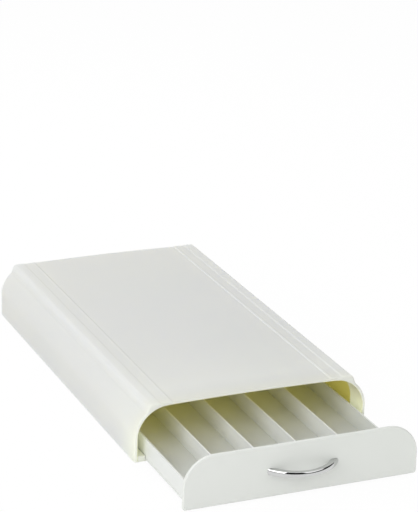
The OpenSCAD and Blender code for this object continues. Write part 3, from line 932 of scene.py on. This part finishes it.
HOUSING_WHITE = plastic("housing_plastic", linear(243, 246, 255), linear(240, 244, 253))
FRONT_WHITE = plastic("front_plastic", linear(213, 215, 211), linear(210, 213, 208))
TRAY_WHITE = plastic("tray_plastic", linear(212, 214, 211), linear(209, 212, 208))
DIVIDER_WHITE = plastic("divider_plastic", linear(221, 223, 222), linear(218, 220, 219))
BASE_WHITE = plastic("base_plastic", linear(228, 230, 218), linear(224, 227, 212))
# Painted light: the rim's yellow tint stands in for light that passes through the plastic at the mouth's edge
RIM_PAINTED_LIGHT = plastic("rim_painted_light", linear(236, 237, 206), linear(232, 233, 198))
# Painted shade: the colours inside the housing darken and yellow with distance from the mouth, standing in
# for the dim, yellow light in there
ZONE_PALE = painted_depth_shade("mouth_plastic", linear(242, 243, 236), linear(236, 237, 222), ZONE_REACH)
INSIDE_PAINTED_SHADE = painted_depth_shade("inside_painted_shade", linear(222, 218, 160), linear(196, 188, 100), INSIDE_REACH)
# Painted light: the housing's bluish white offsets the yellow light from within and turns warmer towards the
# mouth, where less of that light comes through
warm_front_painted_light(HOUSING_WHITE, linear(243, 244, 236), WARM_REACH)
lets_light_through(HOUSING_WHITE, share=0.40, tint=(0.95, 0.97, 1.0))
lets_light_through(INSIDE_PAINTED_SHADE, share=0.58, tint=(0.80, 0.71, 0.16))
# Painted shade: the light through the mouth zone's wall is darker and browner towards its top
lets_light_through(ZONE_PALE, share=0.84, tint=(0.56, 0.52, 0.33), low_tint=(1.0, 1.0, 0.74))
CHROME = chrome("handle_chrome")
STEEL = steel("screw_steel")
RUBBER = rubber("foot_rubber")


# ---------------------------------------------------------------- pieces
PANEL_T = PANEL_HIGH.y - PANEL_LOW.y
HOUSING_CARVING = [
    ("UNION", build_ribs()),
    ("UNION", boss_rods(BOSS_D, BOSS_LOW, BOSS_HIGH)),
    ("UNION", build_webs()),
    ("DIFFERENCE", boss_rods(BOSS_PILOT_D, 0, BOSS_PILOT_TOP)),
]
PANEL_CARVING = [
    ("DIFFERENCE", handle_bores(PANEL_HIGH.y + CUT_CLEAR, HANDLE_HOLE_D / 2, PANEL_T + 2 * CUT_CLEAR)),
    ("DIFFERENCE", front_pilots()),
]
HANDLE_CARVING = [
    ("DIFFERENCE", handle_bores(PANEL_LOW.y + CUT_CLEAR, HANDLE_BORE_D / 2, HANDLE_BORE_DEPTH + CUT_CLEAR)),
]
# In the order of INSIDE, ZONE, RIM and OUTSIDE
HOUSING_MATERIALS = [INSIDE_PAINTED_SHADE, ZONE_PALE, RIM_PAINTED_LIGHT, HOUSING_WHITE]

new_piece(
    "housing_moulding", build_housing(), "housing", ["housing_shell"],
    HOUSING_MATERIALS, HOUSING_CARVING,
)
new_piece(
    "front_moulding", build_panel(), "drawer", ["drawer_front"],
    [FRONT_WHITE], PANEL_CARVING,
)
new_piece("bow_handle", build_handle(), "drawer", ["handle"], [CHROME], HANDLE_CARVING)
soften("drawer_tray", TRAY_EDGE_R, TRAY_WHITE)
soften("base_plate", PLATE_EDGE_R, BASE_WHITE)
for i in range(1, DIVIDERS + 1):
    soften(f"divider_{i}", DIVIDER_EDGE_R, DIVIDER_WHITE)
for corner in ("front_left", "front_right", "rear_left", "rear_right"):
    soften(f"foot_{corner}", FOOT_EDGE_R, RUBBER, sharp_angle=FOOT_SHARP_ANGLE)
for node in ("base_screws", "front_screws", "handle_screws"):
    frame["nodes"][node].material_slots[0].material = STEEL


# ---------------------------------------------------------------- studio
WHITE = (1.0, 1.0, 1.0)
ROOM_LIGHT = 0.60
ROOM_DARK = 0.02
# Y and Z of the directions in which the dark front half gives way to the bright back and ceiling
ROOM_BACK = (0.25, 0.45)
ROOM_CEILING = (0.62, 0.80)
# In metres, unlike the sizes of the object
FLOOR_HALF_W = 6.0
FLOOR_ROUGHNESS = 0.9
FLOOR_GLOW = 0.96


def background(tree, strength):
    """A white background of a strength, a number or another node's output."""
    node = tree.nodes.new("ShaderNodeBackground")
    feed(tree, node.inputs["Color"], WHITE)
    feed(tree, node.inputs["Strength"], strength)
    return node.outputs[0]


def build_world():
    """An even pale room. Gloss sees a dark front half below a bright ceiling, and the camera plain white."""
    world = bpy.data.worlds.new("studio")
    world.use_nodes = True
    tree = world.node_tree
    tree.nodes.clear()
    direction = tree.nodes.new("ShaderNodeTexCoord").outputs["Generated"]
    back = rising(tree, direction, "Y", *ROOM_BACK)
    ceiling = rising(tree, direction, "Z", *ROOM_CEILING)
    shine = ranged(tree, larger(tree, back, ceiling), ROOM_DARK, 1, 0, 1)
    gloss = is_ray(tree, "Is Glossy Ray")
    lit = blended(tree, gloss, background(tree, ROOM_LIGHT), background(tree, shine))
    seen = is_ray(tree, "Is Camera Ray", "Is Transmission Ray")
    output = tree.nodes.new("ShaderNodeOutputWorld")
    tree.links.new(blended(tree, seen, lit, background(tree, 1)), output.inputs["Surface"])
    bpy.context.scene.world = world


def build_floor():
    """A pale floor that keeps a soft shadow and otherwise looks white to the camera."""
    bm = bmesh.new()
    corners = ((-1, -1), (1, -1), (1, 1), (-1, 1))
    bm.faces.new([bm.verts.new((FLOOR_HALF_W * x, FLOOR_HALF_W * y, 0)) for x, y in corners])
    mesh = bpy.data.meshes.new("floor")
    bm.to_mesh(mesh)
    bm.free()
    floor = in_scene("floor", mesh)
    material, tree, principled = shader("floor")
    clouded(tree, principled, scale=30, detail=4, first=(0.90, 0.90, 0.90), second=(0.92, 0.92, 0.92))
    principled.inputs["Roughness"].default_value = FLOOR_ROUGHNESS
    glow = tree.nodes.new("ShaderNodeEmission")
    feed(tree, glow.inputs["Color"], WHITE)
    glow.inputs["Strength"].default_value = 1
    seen = ranged(tree, is_ray(tree, "Is Camera Ray", "Is Glossy Ray"), 0, FLOOR_GLOW, 0, 1)
    surface = blended(tree, seen, principled.outputs[0], glow.outputs[0])
    tree.links.new(surface, tree.nodes["Material Output"].inputs["Surface"])
    mesh.materials.append(material)


def soft_box(name, width, height, power, turn, rise, away):
    """A soft light that points at the origin, in metres and watts.

    turn goes from the front to the right, and rise up from the floor, both in degrees.
    """
    lamp = bpy.data.lights.new(name, "AREA")
    lamp.shape = "RECTANGLE"
    lamp.size = width
    lamp.size_y = height
    lamp.energy = power
    turn, rise = math.radians(turn), math.radians(rise)
    toward = Vector((math.sin(turn) * math.cos(rise), -math.cos(turn) * math.cos(rise), math.sin(rise)))
    light = in_scene(name, lamp)
    light.location = toward * away
    light.rotation_euler = (-toward).to_track_quat("-Z", "Y").to_euler()


build_world()
build_floor()
soft_box("key_left", width=2.8, height=2.0, power=53, turn=-57, rise=27, away=3.0)
soft_box("fill_right", width=1.2, height=0.8, power=3.8, turn=31, rise=30, away=1.8)
soft_box("overhead", width=1.2, height=1.2, power=7.6, turn=180, rise=56, away=1.5)


# ---------------------------------------------------------------- camera
# Solved from the straight edges in the photo. Its place is in metres
CAMERA_AT = Vector((-0.76967, -1.85173, 0.84069))
CAMERA_TURN = math.radians(23.580)
CAMERA_PITCH = math.radians(19.721)
CAMERA_ROLL = math.radians(1.607)
FOCAL_PIXELS = 2124.55
PHOTO_HEIGHT = 512
HALF_PIXEL = 0.5 / PHOTO_HEIGHT
SENSOR = 36.0
CLIP_START = 0.05
CLIP_END = 50.0


def build_camera():
    """The photo's camera. Its turn goes to the right, its pitch downwards and its roll to the left."""
    back = Vector((
        -math.sin(CAMERA_TURN) * math.cos(CAMERA_PITCH),
        -math.cos(CAMERA_TURN) * math.cos(CAMERA_PITCH),
        math.sin(CAMERA_PITCH),
    ))
    level = Vector((math.cos(CAMERA_TURN), -math.sin(CAMERA_TURN), 0))
    raised = back.cross(level)
    right = math.cos(CAMERA_ROLL) * level + math.sin(CAMERA_ROLL) * raised
    up = math.cos(CAMERA_ROLL) * raised - math.sin(CAMERA_ROLL) * level
    data = bpy.data.cameras.new("camera")
    data.sensor_width = SENSOR
    data.lens = FOCAL_PIXELS * SENSOR / PHOTO_HEIGHT
    data.shift_x = -HALF_PIXEL
    data.shift_y = HALF_PIXEL
    data.clip_start = CLIP_START
    data.clip_end = CLIP_END
    camera = in_scene("camera", data)
    camera.matrix_world = Matrix((
        (right.x, up.x, back.x, CAMERA_AT.x),
        (right.y, up.y, back.y, CAMERA_AT.y),
        (right.z, up.z, back.z, CAMERA_AT.z),
        (0, 0, 0, 1),
    ))
    bpy.context.scene.camera = camera


build_camera()
bpy.context.scene.view_settings.view_transform = "Standard"
